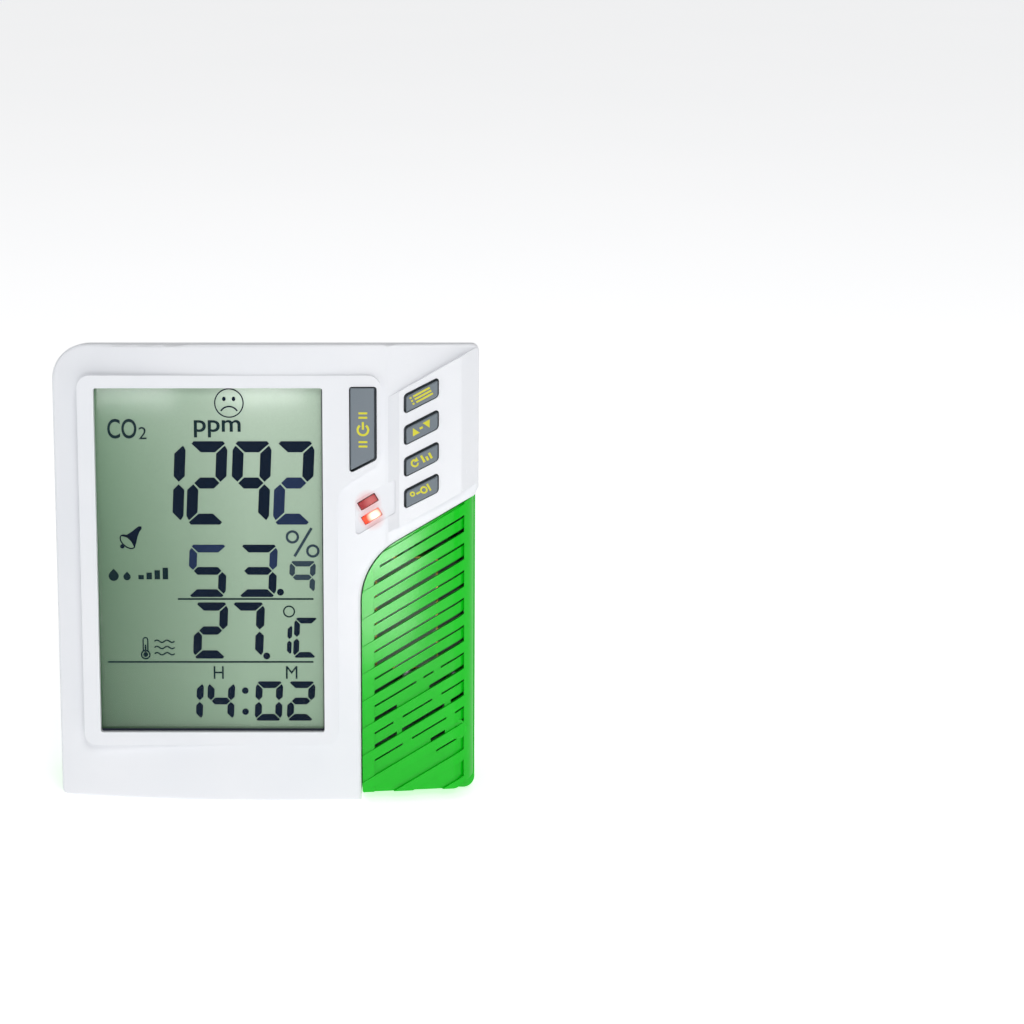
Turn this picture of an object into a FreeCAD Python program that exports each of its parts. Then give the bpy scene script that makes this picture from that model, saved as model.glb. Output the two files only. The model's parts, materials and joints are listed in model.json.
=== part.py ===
"""Desk and wall carbon dioxide monitor, built as an assembly of separate pieces.

Millimetres. X runs to the right across the face, Y runs from the front to the
rear, Z is up. The origin is the centre of the footprint, on the table.
The pieces behind the face are drawn in the face frame: its X runs right, its Y
runs up the face and its Z runs out of it. The face leans back by face_tilt.
"""
import FreeCAD, Part
import math
import os

from FreeCAD import Placement, Rotation, Vector

os.makedirs("parts", exist_ok=True)
doc = FreeCAD.newDocument("air_monitor")

# --------------------------------------------------------------------------
# Driving sizes
# --------------------------------------------------------------------------
SIZES = [
    ("face_tilt", 10.0, "lean of the face from upright, degrees"),
    ("foot_drop", 1.5, "height of the case above the table"),
    ("front_edge", -43.0, "position of the lower front edge, front to rear"),
    ("half_width", 73.0, "half the width of the white front"),
    ("face_shift", 1.0, "face origin to the right of the case's centre line"),
    ("face_height", 159.5, "height of the white front up the face"),
    ("bow_radius", 500.0, "radius of the gently bowed front"),
    ("skin", 2.2, "wall thickness of the mouldings"),
    ("bezel_back", 12.0, "rear of the white front behind the crown"),
    ("band_back", 36.0, "rear of the coloured band behind the crown"),
    ("frame_rise", 0.5, "flat display frame above the crown"),
    ("case_depth", 86.0, "front edge to rear wall along the table"),
    ("wall_rise", 62.0, "height of the upright rear wall"),
    ("slope_start", 158.4, "where the rear slope meets the white front"),
    ("lens_front", 1.8, "front of the clear window behind the crown"),
    ("lens_gauge", 1.2, "thickness of the clear window"),
    ("cell_gauge", 2.7, "thickness of the liquid crystal cell"),
    ("board_front", 10.5, "front of the main board behind the crown"),
    ("board_gauge", 1.6, "thickness of the circuit boards"),
    ("louvre_pitch", 9.65, "spacing of the louvre rows up the face"),
    ("louvre_depth", 1.0, "depth of the recessed louvre bands"),
    ("button_pitch", 10.87, "spacing of the four small buttons"),
    ("foot_size", 10.0, "diameter of a rubber foot"),
    ("keyhole_pitch", 60.0, "spacing of the wall-hanging keyholes"),
]

sizes = doc.addObject("Spreadsheet::Sheet", "sizes")
for row, (alias, value, note) in enumerate(SIZES, start=1):
    sizes.set("A%d" % row, alias)
    sizes.set("B%d" % row, str(value))
    sizes.set("C%d" % row, note)
    sizes.setAlias("B%d" % row, alias)
doc.recompute()


def size(alias):
    """One driving size from the sheet."""
    return float(sizes.get(alias))


TILT = math.radians(size("face_tilt"))
SKIN = size("skin")
CROWN = size("bow_radius")
LEFT = -size("half_width") - size("face_shift")
RIGHT = size("half_width") - size("face_shift")
TOP = size("face_height")
BEZEL_BACK = -size("bezel_back")
BAND_BACK = -size("band_back")
BOARD_FRONT = -size("board_front")
BOARD_BACK = BOARD_FRONT - size("board_gauge")
SENSOR_FRONT = -30.0
SENSOR_BACK = SENSOR_FRONT - size("board_gauge")

# --------------------------------------------------------------------------
# Drawing helpers
# --------------------------------------------------------------------------


def loop(points):
    """Closed outline through (x, y) or (x, y, corner radius) points."""
    corners = [(p[0], p[1], p[2] if len(p) > 2 else 0.0) for p in points]
    joints = []
    for index, (x, y, radius) in enumerate(corners):
        here = Vector(x, y, 0)
        before = Vector(*corners[index - 1][:2], 0)
        after = Vector(*corners[(index + 1) % len(corners)][:2], 0)
        if radius <= 0:
            joints.append((here, here, None))
            continue
        back = (before - here).normalize()
        ahead = (after - here).normalize()
        half = back.getAngle(ahead) / 2
        reach = radius / math.tan(half)
        middle = here + (back + ahead).normalize() * (radius / math.sin(half) - radius)
        joints.append((here + back * reach, here + ahead * reach, middle))
    edges = []
    for index, (start, end, middle) in enumerate(joints):
        if middle is not None:
            edges.append(Part.Arc(start, middle, end))
        following = joints[(index + 1) % len(joints)][0]
        if (following - end).Length > 1e-6:
            edges.append(Part.LineSegment(end, following))
    return edges


def disc(x, y, radius):
    """Closed round outline."""
    return [Part.Circle(Vector(x, y, 0), Vector(0, 0, 1), radius)]


def rect(x0, y0, x1, y1, radius=0.0):
    """Closed rectangle with optional corner radius."""
    return loop([(x0, y0, radius), (x1, y0, radius), (x1, y1, radius), (x0, y1, radius)])


def shrunk(outline, inset):
    """The same outline moved inwards by an even distance."""
    if inset <= 0:
        return outline
    wire = Part.Wire(Part.__sortEdges__([piece.toShape() for piece in outline]))
    inner = wire.makeOffset2D(-inset, 2)
    pieces = []
    for edge in inner.Edges:
        first, last = edge.valueAt(edge.FirstParameter), edge.valueAt(edge.LastParameter)
        if isinstance(edge.Curve, Part.Line):
            pieces.append(Part.LineSegment(first, last))
        else:
            middle = edge.valueAt((edge.FirstParameter + edge.LastParameter) / 2)
            pieces.append(Part.Arc(first, middle, last))
    return pieces


def new_body(name):
    """Empty body named after the piece."""
    body = doc.addObject("PartDesign::Body", name)
    body.Label = name
    body.AllowCompound = True
    return body


def slab(body, plane, name, outlines, start, stop, kind="Pad"):
    """Pad or pocket of the outlines between two distances along the plane's axis.

    The distances are numbers or expressions on the sheet of sizes.
    """
    backwards = plane == "XZ_Plane"
    sketch = body.newObject("Sketcher::SketchObject", name + "_sketch")
    datum = [item for item in body.Origin.OriginFeatures if item.Role == plane][0]
    sketch.AttachmentSupport = (datum, [""])
    sketch.MapMode = "FlatFace"
    sketch.setExpression("AttachmentOffset.Base.z", "%s1 * (%s)" % ("-" if backwards else "", start))
    for outline in outlines:
        sketch.addGeometry(outline, False)
    feature = body.newObject("PartDesign::" + kind, name)
    feature.Profile = sketch
    feature.setExpression("Length", "(%s) - (%s)" % (stop, start))
    feature.Reversed = backwards if kind == "Pad" else not backwards
    doc.recompute()
    return feature


def pocket(body, plane, name, outlines, start, stop):
    """Pocket that must take material away."""
    before = body.Shape.Volume
    feature = slab(body, plane, name, outlines, start, stop, "Pocket")
    if body.Shape.Volume >= before - 1e-6:
        raise RuntimeError("%s removes nothing" % name)
    return feature


def trim_outside(body, plane, name, outline, start, stop):
    """Remove everything outside the outline."""
    return pocket(body, plane, name, [rect(-400, -400, 400, 400), outline], start, stop)


def carve(body, tool, name):
    """Subtract a second body from the first."""
    cut = body.newObject("PartDesign::Boolean", name)
    cut.Type = "Cut"
    cut.setObjects([tool])
    doc.recompute()
    return cut


def soften(body, name, radius, chosen):
    """Fillet the edges of the present tip that the test picks."""
    base = body.Tip
    names = ["Edge%d" % (i + 1) for i, edge in enumerate(base.Shape.Edges) if chosen(edge)]
    feature = body.newObject("PartDesign::Fillet", name)
    feature.Base = (base, names)
    feature.Radius = radius
    doc.recompute()
    return feature


def in_face_frame(body):
    """Place a body that is drawn in the face frame."""
    body.Placement = Placement(
        Vector(size("face_shift"), size("front_edge"), size("foot_drop")),
        Rotation(Vector(1, 0, 0), 90 - size("face_tilt")),
    )


def in_table_frame(body):
    """Place a body drawn level: Y from the front edge, Z from the underside."""
    body.Placement = Placement(Vector(0, size("front_edge"), size("foot_drop")), Rotation())


PIECES = []


def finish(body):
    """Keep a finished piece for export."""
    PIECES.append(body)
    return body


def plate(name, outlines, start, stop):
    """Piece of even thickness parallel to the face."""
    body = new_body(name)
    slab(body, "XY_Plane", name + "_pad", outlines, start, stop)
    in_face_frame(body)
    return finish(body)


# --------------------------------------------------------------------------
# Case outlines
# --------------------------------------------------------------------------


def to_face(depth, height):
    """Face-frame (up, out) of a point given level from the lower front edge."""
    up = height * math.cos(TILT) + depth * math.sin(TILT)
    out = height * math.sin(TILT) - depth * math.cos(TILT)
    return up, out


def to_level(up, out):
    """Level (depth, height) of a face-frame point."""
    depth = up * math.sin(TILT) - out * math.cos(TILT)
    height = up * math.cos(TILT) + out * math.sin(TILT)
    return depth, height


WALL_FOOT = to_face(size("case_depth"), 0)
WALL_HEAD = to_face(size("case_depth"), size("wall_rise"))


def floor_up(out, inset=0.0):
    """Where the underside crosses a plane parallel to the face."""
    return -out * math.tan(TILT) + inset / math.cos(TILT)


def slope_up(out):
    """Where the rear slope crosses a plane parallel to the face."""
    share = (out - BEZEL_BACK) / (WALL_HEAD[1] - BEZEL_BACK)
    return size("slope_start") + share * (WALL_HEAD[0] - size("slope_start"))


def bow(across, inset=0.0):
    """Height of the bowed front at a distance from the centre line."""
    radius = CROWN - inset
    return math.sqrt(radius ** 2 - across ** 2) - CROWN


BEZEL_CORNER = 12.5
GRILLE_CORNER = 24.8

BEZEL_OUTLINE = [
    (LEFT, -12, 0),
    (31.3, -12, 0),
    (31.3, 84.8, GRILLE_CORNER),
    (70.6, 107.4, 1.2),
    (RIGHT, 110.2, 1.2),
    (RIGHT, TOP, 2.5),
    (LEFT, TOP, BEZEL_CORNER),
]
FRAME_OUTLINE = [
    (-64.6, 20.6, 4.0),
    (23.5, 20.6, 4.0),
    (23.5, 109.6, 8.0),
    (38.6, 119.4, 4.5),
    (38.6, 149.0, 4.5),
    (-64.6, 149.0, 4.5),
]
POD_OUTLINE = [
    (41.0, 141.4, 0),
    (41.0, 95.0, 0),
    (66.0, 108.9, 0),
    (71.4, 111.9, 0),
    (71.4, 158.0, 0),
    (70.6, 158.0, 0),
]
WINDOW = (-59.0, 25.15, 18.7, 144.7)
GRILLE_OUTLINE = [
    (31.7, 2.8, 0.8),
    (64.5, 3.4, 3.5),
    (70.7, 7.5, 2.5),
    (70.7, 106.95, 0.6),
    (31.7, 84.55, GRILLE_CORNER),
]

BOSSES_CASE = [(-65.4, 24.5), (-65.4, 80.0), (64.6, 116.0), (64.6, 24.5)]
BOSSES_BOARD = [(-50.0, 149.0), (25.0, 149.0), (41.9, 127.5), (-50.0, 17.0), (24.0, 16.4)]
LEDGES_SENSOR = [(64.0, 40.0), (64.0, 86.0)]

BUTTON_LEAN = math.tan(math.radians(27.0))
SMALL_BUTTONS = ["mode_button", "select_button", "recall_button", "unit_button"]
SMALL_CENTRES = [(52.3, 142.1 - index * size("button_pitch")) for index in range(4)]
POWER_OPENING = [(27.8, 115.5, 0.9), (37.2, 120.3, 1.6), (37.2, 145.2, 1.0), (27.8, 145.2, 1.0)]
POWER_LIP, SMALL_LIP = 0.6, 0.3
FLANGE_FRONT, FLANGE_BACK = -3.9, -4.8
LED_LEAN = 31.0
LED_SPOTS = [("alarm_led", (34.0, 105.6)), ("status_led", (35.3, 100.6))]


def small_opening(centre):
    """Leaning opening for one of the four small buttons."""
    across, up = centre
    rise = 6.0 * BUTTON_LEAN
    return [
        (across - 6.0, up - 3.4 - rise, 0.9),
        (across + 6.0, up - 3.4 + rise, 2.0),
        (across + 6.0, up + 3.4 + rise, 0.9),
        (across - 6.0, up + 3.4 - rise, 2.0),
    ]


def grown(points, margin):
    """Outline points pushed outwards from their centre by about the margin."""
    middle_x = sum(p[0] for p in points) / len(points)
    middle_y = sum(p[1] for p in points) / len(points)
    moved_points = []
    for x, y, radius in points:
        across, up = math.copysign(margin, x - middle_x), math.copysign(margin, y - middle_y)
        moved_points.append((x + across, y + up, radius))
    return moved_points


def turned_rect(centre, width, height, degrees, radius=0.0):
    """Rectangle about a centre, turned by an angle."""
    turn = Rotation(Vector(0, 0, 1), degrees)
    points = []
    for sx, sy in ((-1, -1), (1, -1), (1, 1), (-1, 1)):
        spot = turn.multVec(Vector(sx * width / 2, sy * height / 2, 0))
        points.append((centre[0] + spot.x, centre[1] + spot.y, radius))
    return loop(points)


# --------------------------------------------------------------------------
# White front
# --------------------------------------------------------------------------


def bowed_section(inset, back):
    """Top view of the bowed front down to a flat back."""
    left, right = LEFT + inset, RIGHT - inset
    left_front = Vector(left, bow(left, inset), 0)
    right_front = Vector(right, bow(right, inset), 0)
    return [
        Part.Arc(left_front, Vector(0, -inset, 0), right_front),
        Part.LineSegment(right_front, Vector(right, back, 0)),
        Part.LineSegment(Vector(right, back, 0), Vector(left, back, 0)),
        Part.LineSegment(Vector(left, back, 0), left_front),
    ]


def bezel_solid(body, inset, back):
    """Skin of the white front, or with an inset the space inside it."""
    tag = "inner" if inset else "outer"
    slab(body, "XZ_Plane", tag + "_bow", [bowed_section(inset, back)], -12, TOP - inset)
    trim_outside(body, "XY_Plane", tag + "_outline", shrunk(loop(BEZEL_OUTLINE), inset), -20, 6)
    below = [
        (floor_up(8, inset), 8),
        (floor_up(-20, inset), -20),
        (-30, -20),
        (-30, 8),
    ]
    pocket(body, "YZ_Plane", tag + "_floor", [loop(below)], LEFT - 5, RIGHT + 5)
    if not inset:
        soften(body, "lower_corner", 2.5, lower_left_edge)
        soften(body, "front_rim", 1.1, front_rim_edge)
    slab(body, "XY_Plane", tag + "_frame", [shrunk(loop(FRAME_OUTLINE), inset)],
         -8, "sizes.frame_rise - %s" % inset)
    slab(body, "XY_Plane", tag + "_pod", [shrunk(loop(POD_OUTLINE), inset)], -8, 2)
    above_pod = [
        (40.0, bow(41.0) - inset, 0),
        (41.0, bow(41.0) - inset, 0),
        (44.8, -0.3 - inset, 0),
        (66.0, -0.9 - inset, 0),
        (73.0, -6.1 - inset, 0),
        (90.0, 4.0, 0),
        (40.0, 4.0, 0),
    ]
    pocket(body, "XZ_Plane", tag + "_pod_top", [loop(above_pod)], 80, 170)


def front_bezel():
    """White front with display frame, button pod and all openings."""
    body = new_body("front_bezel")
    bezel_solid(body, 0.0, BEZEL_BACK)
    tool = new_body("bezel_space")
    bezel_solid(tool, SKIN, BEZEL_BACK - 1)
    carve(body, tool, "hollow")
    left_posts = [disc(x, y, 3.3) for x, y in BOSSES_CASE[:2]]
    slab(body, "XY_Plane", "left_posts", left_posts, BEZEL_BACK, -5)
    slab(body, "XY_Plane", "right_post", [disc(*BOSSES_CASE[2], 3.3)], BEZEL_BACK, -2.2)
    for index, (x, y) in enumerate(BOSSES_BOARD):
        slab(body, "XY_Plane", "board_post_%d" % index, [disc(x, y, 2.6)], BOARD_FRONT, bow(x) - 1.0)
    led_seat = [(29.7, 93.7, 1.0), (43.4, 101.8, 0.6), (43.4, 113.5, 0.6), (29.7, 106.2, 1.4)]
    pocket(body, "XY_Plane", "led_recess", [loop(led_seat)], -1.9, 4)
    openings = [rect(*WINDOW, 0.8), loop(POWER_OPENING)]
    openings += [loop(small_opening(centre)) for centre in SMALL_CENTRES]
    openings += [turned_rect(centre, 7.0, 3.1, LED_LEAN, 0.3) for name, centre in LED_SPOTS]
    pocket(body, "XY_Plane", "openings", openings, -9, 4)
    seats = [loop(grown(POWER_OPENING, POWER_LIP + 0.3))]
    seats += [loop(grown(small_opening(centre), SMALL_LIP + 0.3)) for centre in SMALL_CENTRES]
    pocket(body, "XY_Plane", "flange_seats", seats, -9, FLANGE_FRONT + 0.25)
    pilots = [disc(x, y, 1.5) for x, y in BOSSES_CASE[:3]]
    pocket(body, "XY_Plane", "case_pilots", pilots, BEZEL_BACK - 1, -7.6)
    small = [disc(x, y, 1.05) for x, y in BOSSES_BOARD]
    pocket(body, "XY_Plane", "board_pilots", small, BOARD_FRONT - 1, -5.5)
    in_face_frame(body)
    return finish(body)


def lower_left_edge(edge):
    """Edge where the left side meets the underside of the white front."""
    box = edge.BoundBox
    return box.XMax < LEFT + 1e-3 and box.YMax < floor_up(BEZEL_BACK) + 1e-3 and box.ZLength > 3


def front_rim_edge(edge):
    """Edges of the bowed front along the top and the left side."""
    box = edge.BoundBox
    near_front = box.ZMin > bow(LEFT) - 0.5
    on_top = box.YMin > TOP - 1e-3
    on_left = box.XMax < LEFT + 1e-3
    on_corner = box.XMax < LEFT + BEZEL_CORNER + 0.1 and box.YMin > TOP - BEZEL_CORNER - 0.1
    return near_front and (on_top or on_left or on_corner)


# --------------------------------------------------------------------------
# Green vent panel
# --------------------------------------------------------------------------
LOUVRE_SLOPE = 0.584
LOUVRE_LEFT = 36.0
LOUVRE_RIGHT = 67.1
FIRST_ROW = 77.0
WIDE_SLOTS = [
    [(36.0, 67.1)], [(36.0, 67.1)], [(36.0, 67.1)], [(36.0, 67.1)], [(36.0, 67.1)],
    [(36.0, 43.7), (55.0, 67.1)],
    [(36.0, 43.7), (45.5, 60.3), (62.5, 67.1)],
    [(55.5, 60.5), (64.0, 67.1)],
]
FINE_SLOTS = [
    [(38.0, 67.1)], [(36.0, 67.1)], [(36.0, 67.1)], [(36.0, 67.1)], [(36.0, 67.1)],
    [(36.0, 50.5), (53.0, 56.5), (59.0, 67.1)],
    [(36.0, 42.5), (45.7, 56.0), (59.3, 67.1)],
    [(36.0, 45.7), (49.0, 61.0), (64.0, 67.1)],
    [(57.5, 67.1)],
]


def slanted(left, right, low, high):
    """Slanted strip: heights are those at the louvres' left end."""
    def height(across, base):
        return base + (across - LOUVRE_LEFT) * LOUVRE_SLOPE
    return loop([
        (left, height(left, low)),
        (right, height(right, low)),
        (right, height(right, high)),
        (left, height(left, high)),
    ])


def grille_section(level, back):
    """Top view of the panel's skin at a depth below its surface."""
    points = [
        (31.0, -1.9 - level, 0),
        (70.7 - level, -5.9 - level, 8.0 - level),
        (70.7 - level, back, 0),
        (31.0, back, 0),
    ]
    return loop(points)


def above_grille(level):
    """Space in front of the panel's surface, in top view."""
    points = [
        (20.0, -0.8 - level, 0),
        (70.7 - level, -5.9 - level, 8.0 - level),
        (70.7 - level, -30, 0),
        (90.0, -30, 0),
        (90.0, 12.0, 0),
        (20.0, 12.0, 0),
    ]
    return loop(points)


def grille_hollow():
    """The space inside the panel's skin."""
    body = new_body("grille_space")
    slab(body, "XZ_Plane", "inner_form", [grille_section(SKIN, BEZEL_BACK - 1)], -2, 120)
    trim_outside(body, "XY_Plane", "inner_edge", shrunk(loop(GRILLE_OUTLINE), SKIN), -20, 6)
    return body


def vent_grille():
    """Green louvred panel that wraps the lower right corner."""
    pitch = size("louvre_pitch")
    body = new_body("vent_grille")
    level = size("louvre_depth")
    slab(body, "XZ_Plane", "form", [grille_section(level, BEZEL_BACK)], -2, 120)
    slab(body, "XY_Plane", "left_margin", [rect(31.0, -2, 35.8, 120)], BEZEL_BACK, 2)
    pocket(body, "XZ_Plane", "margin_level", [above_grille(0.4)], -5, 125)
    bars = []
    for row in range(-3, 11):
        base = FIRST_ROW - row * pitch
        bars.append(slanted(31.4, LOUVRE_RIGHT, base + 5.2, base + pitch - 0.65))
    slab(body, "XY_Plane", "bars", bars, BEZEL_BACK, 2)
    slab(body, "XY_Plane", "right_margin", [rect(LOUVRE_RIGHT, -2, 75, 120)], BEZEL_BACK, 2)
    pocket(body, "XZ_Plane", "surface", [above_grille(0.0)], -60, 180)
    trim_outside(body, "XY_Plane", "edge", loop(GRILLE_OUTLINE), -20, 6)
    carve(body, grille_hollow(), "hollow")
    slots = []
    for row, spans in enumerate(WIDE_SLOTS):
        base = FIRST_ROW - row * pitch
        slots += [slanted(a, b, base - 0.65, base + 0.65) for a, b in spans]
    for row, spans in enumerate(FINE_SLOTS):
        base = FIRST_ROW - row * pitch
        slots += [slanted(a, b, base + 4.3, base + 5.2) for a, b in spans]
    pocket(body, "XY_Plane", "slots", slots, -10.4, 3)
    slab(body, "XY_Plane", "case_post", [disc(*BOSSES_CASE[3], 3.6)], BEZEL_BACK, -6.6)
    pocket(body, "XY_Plane", "case_pilot", [disc(*BOSSES_CASE[3], 1.5)], BEZEL_BACK - 1, -8.0)
    in_face_frame(body)
    return finish(body)


# --------------------------------------------------------------------------
# Coloured band behind the front
# --------------------------------------------------------------------------
BAND_LEFT, BAND_RIGHT = LEFT + 1.0, RIGHT - 1.0
DC_SPOT = (96.5, -18.0)
USB_SPOT = (111.5, -18.2)
LINE_SPOT = (127.0, -18.4)


def band_profile(front, rear):
    """Side view of the case between two planes parallel to the face."""
    return [
        (floor_up(front), front),
        (floor_up(rear), rear),
        (slope_up(rear), rear),
        (slope_up(front), front),
    ]


def band_solid(body, inset, front, rear):
    """Band form, or with an inset the space inside it."""
    tag = "inner" if inset else "outer"
    left, right = BAND_LEFT + inset, BAND_RIGHT - inset
    slab(body, "YZ_Plane", tag + "_form", [shrunk(loop(band_profile(front, rear)), inset)], left, right)
    outline = loop([
        (BAND_LEFT, -20, 0),
        (BAND_RIGHT, -20, 0),
        (BAND_RIGHT, TOP - 1, 4.5),
        (BAND_LEFT, TOP - 1, BEZEL_CORNER),
    ])
    trim_outside(body, "XY_Plane", tag + "_corners", shrunk(outline, inset), -60, 6)

    def lower_edge(edge):
        """Edges where the side walls meet the underside."""
        box = edge.BoundBox
        on_side = box.XLength < 1e-3 and min(abs(box.XMin - left), abs(box.XMin - right)) < 1e-3
        return on_side and box.YMax < floor_up(rear, inset) + 1e-3 and box.ZLength > 5

    soften(body, tag + "_lower", 4.0 - inset * 0.8, lower_edge)


def mid_frame():
    """Coloured band with the side sockets' openings and the screw sleeves."""
    body = new_body("mid_frame")
    band_solid(body, 0.0, BEZEL_BACK, BAND_BACK)
    tool = new_body("band_space")
    band_solid(tool, 2.0, BEZEL_BACK + 8, BAND_BACK - 8)
    carve(body, tool, "hollow")
    sleeves = [disc(x, y, 3.6) for x, y in BOSSES_CASE]
    slab(body, "XY_Plane", "sleeves", sleeves, BAND_BACK, BEZEL_BACK)
    walls = [BAND_LEFT + 1.0 if x < 0 else BAND_RIGHT - 1.0 for x, y in BOSSES_CASE]
    ribs = [rect(min(x, wall), y - 1.0, max(x, wall), y + 1.0) for wall, (x, y) in zip(walls, BOSSES_CASE)]
    slab(body, "XY_Plane", "sleeve_ribs", ribs, BAND_BACK, BEZEL_BACK)
    ledges = [rect(x - 3.0, y - 3.5, BAND_RIGHT - 1, y + 3.5) for x, y in LEDGES_SENSOR]
    slab(body, "XY_Plane", "sensor_ledges", ledges, SENSOR_FRONT, SENSOR_FRONT + 5)
    pilots = [disc(x, y, 1.05) for x, y in LEDGES_SENSOR]
    pocket(body, "XY_Plane", "sensor_pilots", pilots, SENSOR_FRONT - 1, SENSOR_FRONT + 6)
    ports = [
        disc(*DC_SPOT, 4.3),
        rect(USB_SPOT[0] - 5.6, USB_SPOT[1] - 5.2, USB_SPOT[0] + 5.6, USB_SPOT[1] + 5.2, 0.6),
        rect(LINE_SPOT[0] - 6.2, LINE_SPOT[1] - 4.6, LINE_SPOT[0] + 6.2, LINE_SPOT[1] + 4.6, 0.6),
    ]
    pocket(body, "YZ_Plane", "ports", ports, BAND_LEFT - 2, BAND_LEFT + 3)
    pocket(body, "YZ_Plane", "side_recess", [rect(67, -30, 95, -18, 2.0)], BAND_RIGHT - 0.9, BAND_RIGHT + 2)
    pocket(body, "XY_Plane", "bores", [disc(x, y, 1.75) for x, y in BOSSES_CASE],
           BAND_BACK - 1, BEZEL_BACK + 1)
    in_face_frame(body)
    return finish(body)


# --------------------------------------------------------------------------
# Rear shell, drawn level
# --------------------------------------------------------------------------
SHELL_HALF = size("half_width") - 2.0
REACH = -110.0


def shell_profile(front):
    """Level side view of the rear shell behind a plane parallel to the face."""
    return [
        to_level(floor_up(front), front),
        (size("case_depth"), 0.0),
        (size("case_depth"), size("wall_rise")),
        to_level(slope_up(front), front),
    ]


def shell_solid(body, inset, front):
    """Rear shell form, or with an inset the space inside it."""
    tag = "inner" if inset else "outer"
    half = SHELL_HALF - inset
    outline = shrunk(loop(shell_profile(front)), inset)
    slab(body, "YZ_Plane", tag + "_form", [outline], -half, half)
    depth = size("case_depth") - inset

    def side_edge(edge):
        """Edges that run along the sides of the rear wall and of the slope."""
        box = edge.BoundBox
        on_side = box.XLength < 1e-3 and abs(abs(box.XMin) - half) < 1e-3
        return on_side and box.ZLength > 5 and box.YMax > depth - 1e-3

    soften(body, tag + "_sides", 5.0 - inset, side_edge)
    soften(body, tag + "_base_edges", 4.0 - inset * 0.8, lambda edge: base_edge(edge, half, inset))


def base_edge(edge, half, inset):
    """Edges where the side walls meet the level underside."""
    box = edge.BoundBox
    on_side = box.XLength < 1e-3 and abs(abs(box.XMin) - half) < 1e-3
    return on_side and box.ZMax < inset + 1e-3


def side_slot(index):
    """One slanted ventilation slot in the side walls, rising to the front."""
    top = 62.0 - 7.0 * index
    front = (41.5 + top * math.tan(TILT), top)
    rear = (80.0, 40.5 - 6.2 * index)
    run, rise = rear[0] - front[0], rear[1] - front[1]
    length = math.hypot(run, rise)
    side = (-rise / length * 0.9, run / length * 0.9)
    return loop([
        (front[0] + side[0], front[1] + side[1], 0.6),
        (front[0] - side[0], front[1] - side[1], 0.6),
        (rear[0] - side[0], rear[1] - side[1], 0.6),
        (rear[0] + side[0], rear[1] + side[1], 0.6),
    ])


def well(body, spot, name, radius, start, stop):
    """Round space along a screw axis, given in the face frame."""
    depth, height = to_level(spot[1], start)
    feature = body.newObject("PartDesign::SubtractiveCylinder", name)
    feature.Radius = radius
    feature.Height = stop - start
    feature.Placement = Placement(
        Vector(spot[0] + size("face_shift"), depth, height),
        Rotation(Vector(1, 0, 0), 90 - size("face_tilt")),
    )
    doc.recompute()
    return feature


def keyhole(centre, height):
    """Round entry with a narrow slot above it."""
    entry, neck, rise = 4.5, 2.2, 8.0
    shoulder = math.sqrt(entry ** 2 - neck ** 2)
    top = height + rise
    return [
        Part.Arc(Vector(centre - neck, height + shoulder, 0), Vector(centre, height - entry, 0),
                 Vector(centre + neck, height + shoulder, 0)),
        Part.LineSegment(Vector(centre + neck, height + shoulder, 0), Vector(centre + neck, top, 0)),
        Part.Arc(Vector(centre + neck, top, 0), Vector(centre, top + neck, 0),
                 Vector(centre - neck, top, 0)),
        Part.LineSegment(Vector(centre - neck, top, 0), Vector(centre - neck, height + shoulder, 0)),
    ]


def rear_shell():
    """Pale rear shell with side slots, keyholes, screw wells and an underside."""
    body = new_body("rear_shell")
    shell_solid(body, 0.0, BAND_BACK)
    tool = new_body("shell_space")
    shell_solid(tool, SKIN, BAND_BACK + 8)
    for index, spot in enumerate(BOSSES_CASE):
        well(tool, spot, "well_%d" % index, 5.0, REACH, BAND_BACK + 12)
    carve(body, tool, "hollow")
    slots = [side_slot(index) for index in range(5)]
    pocket(body, "YZ_Plane", "side_slots", slots, -SHELL_HALF - 2, SHELL_HALF + 2)
    for index, spot in enumerate(BOSSES_CASE):
        well(body, spot, "bore_%d" % index, 3.5, REACH, BAND_BACK - 2.4)
        well(body, spot, "hole_%d" % index, 1.75, REACH, BAND_BACK + 1)
    half_pitch = size("keyhole_pitch") / 2
    wall = size("case_depth")
    holes = [keyhole(side * half_pitch, 40.0) for side in (-1, 1)]
    pocket(body, "XZ_Plane", "keyholes", holes, wall - 4, wall + 2)
    in_table_frame(body)
    return finish(body)


# --------------------------------------------------------------------------
# Display
# --------------------------------------------------------------------------
CELL_FRONT = -size("lens_front") - size("lens_gauge") - 0.1
CELL_BACK = CELL_FRONT - size("cell_gauge")
STRIPS = [("contact_strip_lower", 24.7), ("contact_strip_upper", 142.6)]


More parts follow.
